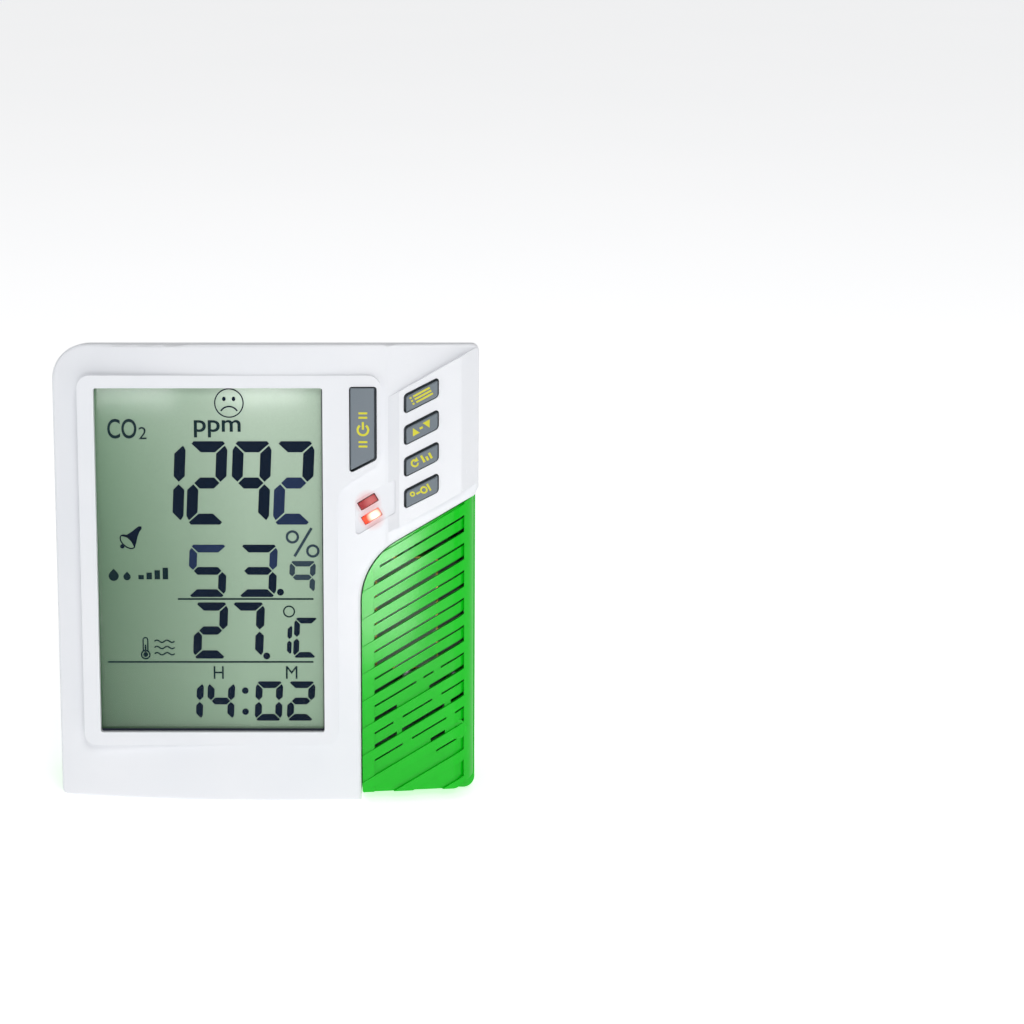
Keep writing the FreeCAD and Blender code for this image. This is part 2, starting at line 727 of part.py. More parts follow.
def display():
    """Clear window, liquid crystal cell, reflector, holder and contact strips."""
    plate("display_lens", [rect(-61.2, 23.8, 20.4, 145.9, 0.6)],
          "-sizes.lens_front - sizes.lens_gauge", "-sizes.lens_front")
    plate("lcd_cell", [rect(-60.6, 24.4, 20.0, 145.6)], CELL_BACK, CELL_FRONT)
    plate("lcd_reflector", [rect(-60.0, 27.6, 19.3, 141.9)], CELL_BACK - 0.4, CELL_BACK - 0.1)
    holder = new_body("lcd_holder")
    slab(holder, "XY_Plane", "tray", [rect(-61.9, 23.1, 21.1, 146.2, 0.8)], BOARD_FRONT + 0.5, CELL_FRONT)
    pocket(holder, "XY_Plane", "seat", [rect(-60.8, 24.2, 20.2, 145.8)], CELL_BACK - 0.5, CELL_FRONT + 1)
    slots = [rect(-53.0, up - 0.1, 13.0, up + 2.3) for name, up in STRIPS]
    slots.append(rect(-40.0, 50.0, 0.0, 120.0, 2.0))
    pocket(holder, "XY_Plane", "strip_slots", slots, BOARD_FRONT, CELL_FRONT)
    in_face_frame(holder)
    finish(holder)
    for name, up in STRIPS:
        plate(name, [rect(-52.8, up + 0.1, 12.8, up + 2.1)], BOARD_FRONT, CELL_BACK)


# --------------------------------------------------------------------------
# Boards and what stands on them
# --------------------------------------------------------------------------
BOARD_OUTLINE = [
    (-61.6, 13.6, 1.0),
    (28.5, 13.6, 1.0),
    (28.5, 88.4, 27.4),
    (60.6, 105.95, 1.0),
    (60.6, 151.6, 1.0),
    (-61.6, 151.6, 4.0),
]


def main_board():
    """Main circuit board with its screw holes."""
    holes = [disc(x, y, 1.2) for x, y in BOSSES_BOARD]
    plate("main_pcb", [loop(BOARD_OUTLINE)] + holes, BOARD_BACK, BOARD_FRONT)


def flat_chip(name, corner, span, height, back):
    """Square flat chip with a row of legs on each side, on a board's rear face."""
    x, y = corner
    body = new_body(name)
    slab(body, "XY_Plane", "package", [rect(x, y, x + span, y + span, 0.3)], back - height, back - 0.15)
    legs = []
    count = int(span / 1.6)
    start = (span - (count - 1) * 1.6) / 2
    for index in range(count):
        offset = start + index * 1.6
        legs.append(rect(x - 1.1, y + offset - 0.25, x + 0.4, y + offset + 0.25))
        legs.append(rect(x + span - 0.4, y + offset - 0.25, x + span + 1.1, y + offset + 0.25))
    slab(body, "XY_Plane", "legs", legs, back - 0.4, back)
    rear = back - height
    pocket(body, "XY_Plane", "index_mark", [disc(x + 1.4, y + 1.4, 0.5)], rear - 1, rear + 0.2)
    in_face_frame(body)
    return finish(body)


def buzzer():
    """Round sounder with its sound hole."""
    body = new_body("buzzer")
    slab(body, "XY_Plane", "can", [disc(8.0, 128.0, 6.0)], BOARD_BACK - 8.5, BOARD_BACK)
    pocket(body, "XY_Plane", "sound_hole", [disc(8.0, 128.0, 1.2)], BOARD_BACK - 9.5, BOARD_BACK - 7.0)
    in_face_frame(body)
    return finish(body)


def supply_capacitor():
    """Upright can beside the power socket."""
    body = new_body("supply_capacitor")
    slab(body, "XY_Plane", "can", [disc(-46.0, 88.0, 4.0)], BOARD_BACK - 11.0, BOARD_BACK)
    in_face_frame(body)
    return finish(body)


BODY_LEFT = BAND_LEFT + 2.3
BODY_RIGHT = -55.0
NOSE_LEFT = BAND_LEFT + 0.4


def dc_socket():
    """Barrel power socket with its centre pin."""
    up, out = DC_SPOT
    body = new_body("dc_socket")
    slab(body, "YZ_Plane", "block", [rect(up - 4.7, -22.7, up + 4.7, BOARD_BACK, 0.4)],
         BODY_LEFT, BODY_RIGHT)
    slab(body, "YZ_Plane", "nose", [disc(up, out, 4.0)], NOSE_LEFT, BODY_LEFT)
    pocket(body, "YZ_Plane", "bore", [disc(up, out, 2.85)], NOSE_LEFT - 1, -60.0)
    slab(body, "YZ_Plane", "pin", [disc(up, out, 1.0)], NOSE_LEFT + 1.0, -59.5)
    in_face_frame(body)
    return finish(body)


def data_socket():
    """Square data socket with its tongue."""
    up, out = USB_SPOT
    body = new_body("data_socket")
    slab(body, "YZ_Plane", "block", [rect(up - 6.0, -24.2, up + 6.0, BOARD_BACK, 0.3)],
         BODY_LEFT, BODY_RIGHT)
    slab(body, "YZ_Plane", "nose", [rect(up - 5.2, out - 4.8, up + 5.2, out + 4.8, 0.3)],
         NOSE_LEFT, BODY_LEFT)
    pocket(body, "YZ_Plane", "mouth", [loop([
        (up - 4.2, out - 3.9, 0.3), (up + 4.2, out - 3.9, 0.3),
        (up + 4.2, out + 2.6, 0.3), (up + 2.9, out + 3.9, 0.3),
        (up - 2.9, out + 3.9, 0.3), (up - 4.2, out + 2.6, 0.3),
    ])], NOSE_LEFT - 1, -58.0)
    slab(body, "YZ_Plane", "tongue", [rect(up - 2.8, out - 1.5, up + 2.8, out + 1.6)],
         NOSE_LEFT + 1.2, -57.5)
    in_face_frame(body)
    return finish(body)


def line_socket():
    """Modular socket for the output lines, with its contact bar."""
    up, out = LINE_SPOT
    body = new_body("line_socket")
    slab(body, "YZ_Plane", "block", [rect(up - 6.8, -24.2, up + 6.8, BOARD_BACK, 0.3)],
         BODY_LEFT, BODY_RIGHT)
    slab(body, "YZ_Plane", "nose", [rect(up - 5.8, out - 4.2, up + 5.8, out + 4.2, 0.3)],
         NOSE_LEFT, BODY_LEFT)
    pocket(body, "YZ_Plane", "mouth", [rect(up - 4.8, out - 3.3, up + 4.8, out + 3.3, 0.2)],
           NOSE_LEFT - 1, -58.0)
    bars = [
        rect(up - 3.3 + 1.1 * index, out - 3.35, up - 2.9 + 1.1 * index, out - 2.2)
        for index in range(6)
    ]
    slab(body, "YZ_Plane", "contacts", bars, NOSE_LEFT + 2.0, -57.5)
    in_face_frame(body)
    return finish(body)


# --------------------------------------------------------------------------
# Buttons and indicators
# --------------------------------------------------------------------------
STEM_BACK = -6.3
SWITCH_FRONT = -7.1
CAP_INSET = 0.65


def moved(points, across, up):
    """The same outline points shifted in the plane."""
    return [(p[0] + across, p[1] + up) + tuple(p[2:]) for p in points]


def push_button(name, opening, centre, front, shift, lip):
    """Rubber cap with its retaining flange and the stem behind it."""
    body = new_body(name)
    outline = moved(opening, shift, -shift)
    slab(body, "XY_Plane", "flange", [loop(grown(opening, lip))], FLANGE_BACK, FLANGE_FRONT)
    slab(body, "XY_Plane", "cap", [shrunk(loop(outline), CAP_INSET)], FLANGE_FRONT, front)
    slab(body, "XY_Plane", "stem", [disc(*centre, 1.7)], STEM_BACK, FLANGE_BACK)
    soften(body, "cap_edge", 0.45, lambda edge: edge.BoundBox.ZMin > front - 1e-3)
    in_face_frame(body)
    return finish(body)


def tact_switch(name, centre):
    """Switch body on the main board with a well for its plunger."""
    x, y = centre
    body = new_body(name + "_switch")
    slab(body, "XY_Plane", "base", [rect(x - 3, y - 3, x + 3, y + 3, 0.4)], BOARD_FRONT, SWITCH_FRONT)
    pocket(body, "XY_Plane", "plunger_well", [disc(x, y, 1.9)], BOARD_FRONT + 1.2, SWITCH_FRONT + 1)
    in_face_frame(body)
    finish(body)
    plate(name + "_plunger", [disc(x, y, 1.55)], SWITCH_FRONT - 0.9, STEM_BACK)


def buttons():
    """All five push buttons with their switches and plungers."""
    power_centre = (32.4, 131.0)
    push_button("power_button", POWER_OPENING, power_centre, 1.2, -0.22, POWER_LIP)
    tact_switch("power", power_centre)
    for name, centre in zip(SMALL_BUTTONS, SMALL_CENTRES):
        push_button(name, small_opening(centre), centre, 0.4, 0.22, SMALL_LIP)
        tact_switch(name.split("_")[0], centre)


def indicators():
    """Two rectangular indicator lamps and the spacer block that carries them."""
    turn = math.radians(LED_LEAN)
    for name, centre in LED_SPOTS:
        body = new_body(name)
        slab(body, "XY_Plane", "lens", [turned_rect(centre, 6.4, 2.5, LED_LEAN, 0.25)], -6.9, -1.6)
        feet = []
        for side in (-1, 1):
            spot = (centre[0] + side * 1.27 * math.cos(turn), centre[1] + side * 1.27 * math.sin(turn))
            feet.append(turned_rect(spot, 0.5, 0.5, LED_LEAN))
        slab(body, "XY_Plane", "leads", feet, BOARD_FRONT, -6.9)
        in_face_frame(body)
        finish(body)
    middle = (34.65, 103.1)
    body = new_body("led_spacer")
    slab(body, "XY_Plane", "block", [turned_rect(middle, 7.0, 8.6, LED_LEAN, 0.4)], BOARD_FRONT, -7.0)
    holes = [turned_rect(centre, 3.6, 1.0, LED_LEAN) for name, centre in LED_SPOTS]
    pocket(body, "XY_Plane", "lead_slots", holes, BOARD_FRONT - 1, -6)
    in_face_frame(body)
    finish(body)


# --------------------------------------------------------------------------
# Gas sensor
# --------------------------------------------------------------------------
CHAMBER = (36.0, 44.0, 58.0, 84.0)
CHAMBER_FRONT = -17.0
BEAM = (47.0, -23.4)


def sensor():
    """Sensor board, optical chamber, lamp, detector, membrane and header."""
    holes = [disc(x, y, 1.2) for x, y in LEDGES_SENSOR]
    plate("sensor_pcb", [rect(22.6, 28.8, 67.4, 92.0, 1.0)] + holes, SENSOR_BACK, SENSOR_FRONT)
    x0, y0, x1, y1 = CHAMBER
    chamber = new_body("sensor_chamber")
    slab(chamber, "XY_Plane", "block", [rect(*CHAMBER, 1.5)], SENSOR_FRONT, CHAMBER_FRONT)
    pocket(chamber, "XY_Plane", "channel", [rect(x0 + 2, y0 + 3, x1 - 2, y1 - 3, 1.0)],
           SENSOR_FRONT + 1.5, CHAMBER_FRONT + 1)
    pocket(chamber, "XZ_Plane", "lamp_hole", [disc(*BEAM, 2.75)], y1 - 4, y1 + 1)
    pocket(chamber, "XZ_Plane", "detector_hole", [disc(*BEAM, 4.65)], y0 - 1, y0 + 4)
    in_face_frame(chamber)
    finish(chamber)
    capsule("ir_lamp", 2.6, y1 - 3, y1 + 4)
    capsule("ir_detector", 4.5, y0 - 3, y0 + 2.5)
    plate("sensor_membrane", [rect(x0 + 0.5, y0 + 0.5, x1 - 0.5, y1 - 0.5, 1.2)],
          CHAMBER_FRONT, CHAMBER_FRONT + 0.4)
    plate("sensor_header", [rect(23.6, 40.0, 26.1, 62.0, 0.2)], SENSOR_FRONT, BOARD_BACK)
    humidity = new_body("humidity_sensor")
    package = rect(44.0, 30.5, 49.0, 35.5, 0.3)
    slab(humidity, "XY_Plane", "package", [package], SENSOR_FRONT, SENSOR_FRONT + 2.4)
    pocket(humidity, "XY_Plane", "vent", [disc(46.5, 33.0, 0.9)], SENSOR_FRONT + 1.4, SENSOR_FRONT + 3)
    in_face_frame(humidity)
    finish(humidity)


def capsule(name, radius, start, stop):
    """Round capsule lying along the chamber, with leads down to the board."""
    body = new_body(name)
    slab(body, "XZ_Plane", "can", [disc(*BEAM, radius)], start, stop)
    outer_end = stop if start > CHAMBER[1] + 10 else start
    first = min(outer_end, outer_end + math.copysign(1.2, start - 60))
    leads = [rect(BEAM[0] + x - 0.3, first, BEAM[0] + x + 0.3, first + 1.2) for x in (-1.3, 1.3)]
    slab(body, "XY_Plane", "leads", leads, SENSOR_FRONT, BEAM[1] + 1.0)
    in_face_frame(body)
    return finish(body)


# --------------------------------------------------------------------------
# Screws and feet
# --------------------------------------------------------------------------


def screws(name, spots, head, shank, seat, tip):
    """Set of identical cross-head screws along the face's axis."""
    body = new_body(name)
    heads = [disc(x, y, head[0]) for x, y in spots]
    slab(body, "XY_Plane", "heads", heads, seat - head[1], seat)
    slab(body, "XY_Plane", "shanks", [disc(x, y, shank) for x, y in spots], seat, tip)
    wide, thin = head[0] * 0.62, head[0] * 0.13
    slots = []
    for x, y in spots:
        slots.append(loop([
            (x - wide, y - thin), (x - thin, y - thin), (x - thin, y - wide), (x + thin, y - wide),
            (x + thin, y - thin), (x + wide, y - thin), (x + wide, y + thin), (x + thin, y + thin),
            (x + thin, y + wide), (x - thin, y + wide), (x - thin, y + thin), (x - wide, y + thin),
        ]))
    pocket(body, "XY_Plane", "drive", slots, seat - head[1] - 1, seat - head[1] * 0.45)
    in_face_frame(body)
    return finish(body)


def foot(name, across, depth):
    """Round rubber foot under the case."""
    body = new_body(name)
    slab(body, "XY_Plane", "disc", [disc(across, depth, size("foot_size") / 2)], "-sizes.foot_drop", 0)
    soften(body, "rim", 0.5, lambda edge: edge.BoundBox.ZMax < -size("foot_drop") + 1e-3)
    in_table_frame(body)
    return finish(body)


# --------------------------------------------------------------------------
# Build, check and export
# --------------------------------------------------------------------------
front_bezel()
vent_grille()
mid_frame()
rear_shell()
display()
main_board()
flat_chip("display_driver", (-31.0, 78.0), 14.0, 1.9, BOARD_BACK)
flat_chip("controller_chip", (-6.0, 56.0), 12.0, 1.7, BOARD_BACK)
buzzer()
supply_capacitor()
dc_socket()
data_socket()
line_socket()
buttons()
indicators()
sensor()
screws("case_screws", BOSSES_CASE, (2.9, 2.2), 1.4, BAND_BACK - 2.4, -8.4)
screws("board_screws", BOSSES_BOARD, (2.0, 1.4), 0.95, BOARD_BACK, -6.2)
screws("sensor_screws", LEDGES_SENSOR, (2.0, 1.4), 0.95, SENSOR_BACK, SENSOR_FRONT + 4)
foot("foot_front_left", -58.0, 24.5)
foot("foot_front_right", 58.0, 24.5)
foot("foot_rear_left", -58.0, 76.0)
foot("foot_rear_right", 58.0, 76.0)
doc.recompute()

for item in doc.Objects:
    if "Invalid" in item.State or "Error" in item.State:
        raise RuntimeError("%s did not compute" % item.Label)
for piece in PIECES:
    shape = piece.Shape
    if shape.isNull() or not shape.isValid() or shape.Volume <= 0:
        raise RuntimeError("%s has no valid solid" % piece.Label)
    shape.exportStep("parts/%s.step" % piece.Label)
print("%d pieces" % len(PIECES))
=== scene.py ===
"""A desk-top carbon dioxide monitor: finishes, display and key markings, light and camera."""
import json
import math

import bmesh
import bpy
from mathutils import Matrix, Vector


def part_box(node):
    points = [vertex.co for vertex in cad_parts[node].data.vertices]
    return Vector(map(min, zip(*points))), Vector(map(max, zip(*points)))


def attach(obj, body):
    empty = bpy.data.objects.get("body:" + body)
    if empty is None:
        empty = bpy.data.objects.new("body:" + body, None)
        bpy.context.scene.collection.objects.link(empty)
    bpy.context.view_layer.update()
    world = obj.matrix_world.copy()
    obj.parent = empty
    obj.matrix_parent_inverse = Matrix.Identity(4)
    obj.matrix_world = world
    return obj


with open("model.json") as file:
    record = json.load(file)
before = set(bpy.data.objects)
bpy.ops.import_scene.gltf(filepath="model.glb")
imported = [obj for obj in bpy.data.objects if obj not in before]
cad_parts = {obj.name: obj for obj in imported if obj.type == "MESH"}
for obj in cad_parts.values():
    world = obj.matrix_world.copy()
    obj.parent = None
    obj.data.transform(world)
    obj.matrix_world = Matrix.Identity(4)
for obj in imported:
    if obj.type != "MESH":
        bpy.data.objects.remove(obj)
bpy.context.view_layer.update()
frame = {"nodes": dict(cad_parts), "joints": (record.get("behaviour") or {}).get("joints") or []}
NODES = frame["nodes"]

# The front face leans back, and the keys are pressed square to it.
PRESS = Vector(next(j for j in frame["joints"] if j["child"] == "power_key")["axis"])
LEAN_COS, LEAN_SIN = PRESS.y, -PRESS.z
MM = 0.001

# The display window's lens fixes where the face's own coordinates start:
# u to the right, v up the face and w out of it, all in millimetres.
LENS_LEFT, LENS_FOOT, LENS_FACE = -61.2, 23.8, -1.8
LENS_GAUGE = 1.2
lens_low, lens_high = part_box("display_lens")
ORIGIN_X = lens_low.x / MM - LENS_LEFT
ORIGIN_Y = lens_low.y / MM - LENS_FOOT * LEAN_SIN + LENS_FACE * LEAN_COS
ORIGIN_Z = lens_low.z / MM - LENS_FOOT * LEAN_COS - (LENS_FACE - LENS_GAUGE) * LEAN_SIN


def on_face(u, v, w):
    """A point of the face frame, in millimetres, as a place in the row frame, in metres."""
    backward = ORIGIN_Y + v * LEAN_SIN - w * LEAN_COS
    upward = ORIGIN_Z + v * LEAN_COS + w * LEAN_SIN
    return Vector((ORIGIN_X + u, backward, upward)) * MM


def face_extent(node):
    """The lowest and highest u, v and w that a CAD node reaches, in millimetres."""
    reach = []
    for vertex in NODES[node].data.vertices:
        x, y, z = vertex.co / MM
        y, z = y - ORIGIN_Y, z - ORIGIN_Z
        reach.append((x - ORIGIN_X, y * LEAN_SIN + z * LEAN_COS, z * LEAN_SIN - y * LEAN_COS))
    return [(min(axis), max(axis)) for axis in zip(*reach)]


# ---------------------------------------------------------------- finishes

def srgb(red, green, blue):
    """A colour given as 0 to 255 in sRGB, as the linear values that a shader takes."""
    def linear(level):
        level /= 255
        return level / 12.92 if level <= 0.04045 else ((level + 0.055) / 1.055) ** 2.4
    return (linear(red), linear(green), linear(blue), 1)


class Finish:
    """A material under construction: one Principled shader, and the nodes that drive it."""

    def __init__(self, name):
        self.slot = name
        self.material = bpy.data.materials.new(name)
        self.material.use_nodes = True
        self.tree = self.material.node_tree
        self.tree.nodes.clear()
        self.shader = self.add("ShaderNodeBsdfPrincipled")
        output = self.add("ShaderNodeOutputMaterial")
        self.link(self.shader.outputs["BSDF"], output.inputs["Surface"])
        self.place = self.add("ShaderNodeTexCoord").outputs["Object"]

    def add(self, kind, **settings):
        node = self.tree.nodes.new(kind)
        for key, value in settings.items():
            setattr(node, key, value)
        return node

    def link(self, source, target):
        self.tree.links.new(source, target)

    def set(self, **values):
        for socket, value in values.items():
            self.shader.inputs[socket.replace("_", " ")].default_value = value

    def noise(self, size, detail=3, stretch=(1, 1, 1)):
        """Noise whose lumps are about size metres across."""
        scaled = self.add("ShaderNodeMapping")
        scaled.inputs["Scale"].default_value = stretch
        self.link(self.place, scaled.inputs["Vector"])
        noise = self.add("ShaderNodeTexNoise")
        noise.inputs["Scale"].default_value = 1 / size
        noise.inputs["Detail"].default_value = detail
        self.link(scaled.outputs["Vector"], noise.inputs["Vector"])
        return noise.outputs["Fac"]

    def spread(self, source, low, high, start=0.3, end=0.7):
        """source, from start to end, mapped on to low to high."""
        ranged = self.add("ShaderNodeMapRange")
        for socket, value in (("From Min", start), ("From Max", end), ("To Min", low), ("To Max", high)):
            ranged.inputs[socket].default_value = value
        self.link(source, ranged.inputs["Value"])
        return ranged.outputs["Result"]

    def mixed(self, factor, first, second):
        """A colour between first and second. Either may be a colour or another node's output."""
        mix = self.add("ShaderNodeMix", data_type="RGBA")
        self.link(factor, mix.inputs["Factor"])
        for socket, colour in ((mix.inputs[6], first), (mix.inputs[7], second)):
            if isinstance(colour, tuple):
                socket.default_value = colour
            else:
                self.link(colour, socket)
        return mix.outputs[2]

    def bumped(self, height, depth, strength=1.0):
        bump = self.add("ShaderNodeBump")
        bump.inputs["Distance"].default_value = depth
        bump.inputs["Strength"].default_value = strength
        self.link(height, bump.inputs["Height"])
        self.link(bump.outputs["Normal"], self.shader.inputs["Normal"])

    def away_from(self, point):
        """The distance from a point of the row frame, in metres."""
        distance = self.add("ShaderNodeVectorMath", operation="DISTANCE")
        distance.inputs[1].default_value = point
        self.link(self.place, distance.inputs[0])
        return distance.outputs["Value"]


COLOUR_DRIFT = 0.03


def moulded(name, colour, shade, roughness, grain=0.0006, depth=0.00002, gloss=0.5, coat=0.0,
            coat_roughness=0.12):
    """Moulded plastic: an even colour with a faint drift, and a fine grain that breaks up the gloss."""
    made = Finish(name)
    drift = made.spread(made.noise(COLOUR_DRIFT), 0, 1)
    wear = made.spread(made.noise(grain * 3), roughness - 0.05, roughness + 0.05)
    made.link(made.mixed(drift, colour, shade), made.shader.inputs["Base Color"])
    made.link(wear, made.shader.inputs["Roughness"])
    made.bumped(made.noise(grain), depth)
    made.set(Specular_IOR_Level=gloss, Coat_Weight=coat, Coat_Roughness=coat_roughness)
    return made


def brushed(name, colour, shade, roughness, stretch=(1, 8, 1), grain=0.0008):
    """Bare metal with fine marks along one way."""
    made = Finish(name)
    marks = made.noise(grain, stretch=stretch)
    tone = made.mixed(made.spread(marks, 0, 1), colour, shade)
    made.link(tone, made.shader.inputs["Base Color"])
    made.link(made.spread(marks, roughness - 0.08, roughness + 0.1), made.shader.inputs["Roughness"])
    made.bumped(marks, 0.00001)
    made.set(Metallic=1.0)
    return made


# How far inside its front a lamp's core sits, and how far its colours and the painted red glow around it
# reach, in metres.
LAMP_SKIN = 0.0012
CORE_EDGE, RIM_START = 0.0009, 0.0031
PAINTED_GLOW_FULL, PAINTED_GLOW_END = 0.0026, 0.0050

# How strongly the painted red glow shows where it is full.
PAINTED_GLOW_SHARE = 0.38


def lamp_tip(node, rightward=0.5, upward=0.5):
    """A point just inside a lamp's front, at a share of its width and height."""
    low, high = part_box(node)
    size = high - low
    return Vector((low.x + size.x * rightward, low.y + LAMP_SKIN, low.z + size.z * upward))


def lit_face_white():
    """The front's white plastic, with a painted red glow where the two lamps light the pocket that they
    stand in.
    """
    made = Finish("front_white")
    drift = made.spread(made.noise(0.04), 0, 1)
    white = made.mixed(drift, srgb(240, 241, 244), srgb(235, 237, 241))
    tips = [lamp_tip(node) for node in ("alarm_led", "status_led")]
    # Painted light: the white is mixed towards red near the two lamps, in place of their light on the
    # pocket.
    glow = [made.spread(made.away_from(tip), 1, 0, PAINTED_GLOW_FULL, PAINTED_GLOW_END) for tip in tips]
    both = made.add("ShaderNodeMath", operation="MAXIMUM")
    made.link(glow[0], both.inputs[0])
    made.link(glow[1], both.inputs[1])
    painted_glow_weight = made.add("ShaderNodeMath", operation="MULTIPLY")
    painted_glow_weight.inputs[1].default_value = PAINTED_GLOW_SHARE
    made.link(both.outputs["Value"], painted_glow_weight.inputs[0])
    painted_glow_colour = made.mixed(painted_glow_weight.outputs["Value"], white, srgb(236, 96, 84))
    made.link(painted_glow_colour, made.shader.inputs["Base Color"])
    made.link(made.spread(made.noise(0.002), 0.30, 0.38), made.shader.inputs["Roughness"])
    made.bumped(made.noise(0.0007), 0.00001)
    made.set(Specular_IOR_Level=0.5, Coat_Weight=0.08, Coat_Roughness=0.15)
    return made


def display_ground():
    """The display's grey-green ground, with painted shade towards the lower left and painted light
    towards the upper right, and its polariser's fine speckle.
    """
    made = Finish("lcd_ground")
    parts = made.add("ShaderNodeSeparateXYZ")
    made.link(made.place, parts.inputs["Vector"])
    # Painted light and shade: the ground darkens towards the lower left and lightens towards the upper
    # right.
    sideways = made.spread(parts.outputs["X"], 0, 1, lens_low.x, lens_low.x + 0.055)
    upward = made.spread(parts.outputs["Z"], 0, 1, lens_low.z - 0.01, lens_high.z)
    lower = made.mixed(sideways, srgb(66, 100, 70), srgb(148, 180, 150))
    upper = made.mixed(sideways, srgb(132, 166, 136), srgb(197, 220, 197))
    even = made.mixed(upward, lower, upper)
    speckle = made.spread(made.noise(0.0005, detail=2), 0, 1)
    shaded = made.add("ShaderNodeMix", data_type="RGBA", blend_type="MULTIPLY")
    shaded.inputs["Factor"].default_value = 0.5
    made.link(even, shaded.inputs[6])
    made.link(made.mixed(speckle, (0.86, 0.86, 0.86, 1), (1, 1, 1, 1)), shaded.inputs[7])
    made.link(shaded.outputs[2], made.shader.inputs["Base Color"])
    made.link(made.spread(speckle, 0.12, 0.17, 0, 1), made.shader.inputs["Roughness"])
    made.bumped(speckle, 0.0000004)
    made.set(Specular_IOR_Level=0.3, Coat_Weight=0.5, Coat_Roughness=0.06)
    return made


def clear_window():
    """The clear lens over the display: nearly all see-through, with a few faint smears."""
    made = Finish("window_clear")
    smear = made.noise(0.012, detail=4)
    made.link(made.spread(smear, 0.08, 0.16), made.shader.inputs["Roughness"])
    tone = made.mixed(made.spread(smear, 0, 1), srgb(62, 70, 64), srgb(50, 58, 52))
    made.link(tone, made.shader.inputs["Base Color"])
    made.bumped(smear, 0.000003)
    made.set(Alpha=0.04, Specular_IOR_Level=0.6)
    return made


def lamp(node, name, core, rim, strength):
    """A small cast lamp: a paler core to the right of its middle, a deeper colour towards its rim."""
    made = Finish(name)
    ripple = made.noise(0.0009)
    edge = made.spread(made.away_from(lamp_tip(node, 0.66, 0.6)), 0, 1, CORE_EDGE, RIM_START)
    colour = made.mixed(edge, core, rim)
    made.link(colour, made.shader.inputs["Base Color"])
    made.link(colour, made.shader.inputs["Emission Color"])
    made.link(made.spread(ripple, 0.10, 0.20), made.shader.inputs["Roughness"])
    made.bumped(ripple, 0.00002)
    made.set(Emission_Strength=strength, Coat_Weight=0.4)
    return made


FINISHES = [
    lit_face_white(),
    moulded("vent_green", srgb(8, 204, 28), srgb(4, 190, 20), 0.34,
            gloss=0.1, coat=0.4, coat_roughness=0.08),
    moulded("band_green", srgb(12, 194, 30), srgb(10, 187, 27), 0.34, gloss=0.25),
    moulded("shell_grey", srgb(214, 217, 221), srgb(206, 209, 214), 0.42, grain=0.0009, depth=0.00006),
    clear_window(),
    display_ground(),
    moulded("reflector_silver", srgb(214, 219, 208), srgb(198, 204, 192), 0.30),
    moulded("holder_white", srgb(226, 226, 222), srgb(216, 216, 212), 0.45),
    moulded("strip_grey", srgb(72, 72, 78), srgb(52, 52, 58), 0.65, grain=0.0004),
    moulded("board_green", srgb(20, 92, 50), srgb(14, 78, 42), 0.38,
            grain=0.0012, depth=0.00004, coat=0.3),
    moulded("chip_black", srgb(38, 38, 41), srgb(30, 30, 33), 0.52, grain=0.0003),
    moulded("part_black", srgb(44, 44, 47), srgb(34, 34, 37), 0.46),
    brushed("socket_metal", srgb(205, 205, 208), srgb(184, 184, 188), 0.30),
    brushed("can_metal", srgb(214, 215, 218), srgb(196, 197, 201), 0.26, stretch=(1, 1, 8)),
    moulded("button_grey", srgb(124, 133, 140), srgb(114, 124, 132), 0.55,
            grain=0.0003, depth=0.00003, gloss=0.4),
    moulded("plunger_black", srgb(46, 46, 48), srgb(36, 36, 38), 0.6),
    lamp("alarm_led", "led_red", srgb(204, 106, 104), srgb(168, 50, 54), 0.12),
    lamp("status_led", "led_amber", srgb(255, 240, 214), srgb(236, 66, 36), 0.85),
    brushed("chamber_gold", srgb(224, 190, 118), srgb(204, 168, 94), 0.28),
    moulded("membrane_white", srgb(240, 240, 237), srgb(228, 228, 225), 0.8, grain=0.0002, depth=0.00005),
    brushed("screw_steel", srgb(196, 196, 200), srgb(168, 168, 173), 0.34),
    moulded("foot_rubber", srgb(58, 58, 60), srgb(44, 44, 46), 0.75, grain=0.0004, depth=0.00005),
]
FINISH = {made.slot: made.material for made in FINISHES}
for node in NODES.values():
    for slot in node.material_slots:
        slot.material = FINISH[slot.material.name.split(".")[0]]

EDGE_BLACK = moulded("display_edge_black", srgb(26, 34, 54), srgb(20, 27, 44), 0.4, gloss=0.3).material
INK = moulded("display_ink", srgb(20, 33, 54), srgb(16, 28, 46), 0.6, gloss=0.0).material
FAINT_INK = moulded("display_ink_faint", srgb(44, 59, 92), srgb(38, 52, 84), 0.6, gloss=0.0).material
GREY_INK = moulded("display_ink_grey", srgb(64, 80, 92), srgb(56, 72, 84), 0.6, gloss=0.0).material
THIN_INK = moulded("display_ink_thin", srgb(30, 52, 58), srgb(24, 44, 50), 0.6, gloss=0.0).material
YELLOW = moulded("mark_yellow", srgb(226, 220, 60), srgb(210, 204, 48), 0.5, gloss=0.4).material


# ---------------------------------------------------------------- flat artwork
# A shape is a list of polygons, and a polygon a list of points, in millimetres.

def turned(shape, degrees, at=(0, 0)):
    """A shape turned about its origin, which then moves to a point."""
    cos, sin = math.cos(math.radians(degrees)), math.sin(math.radians(degrees))
    return [
        [(at[0] + x * cos - y * sin, at[1] + x * sin + y * cos) for x, y in polygon] for polygon in shape
    ]


def arc_points(centre, radius, start, end, steps, squash=1.0):
    angles = [math.radians(start + (end - start) * i / steps) for i in range(steps + 1)]
    return [(centre[0] + radius * math.cos(a), centre[1] + radius * squash * math.sin(a)) for a in angles]


def bar(left, foot, right, head):
    return [[(left, foot), (right, foot), (right, head), (left, head)]]


def dot(centre, radius, squash=1.0):
    return [arc_points(centre, radius, 0, 360, 32, squash)[:-1]]


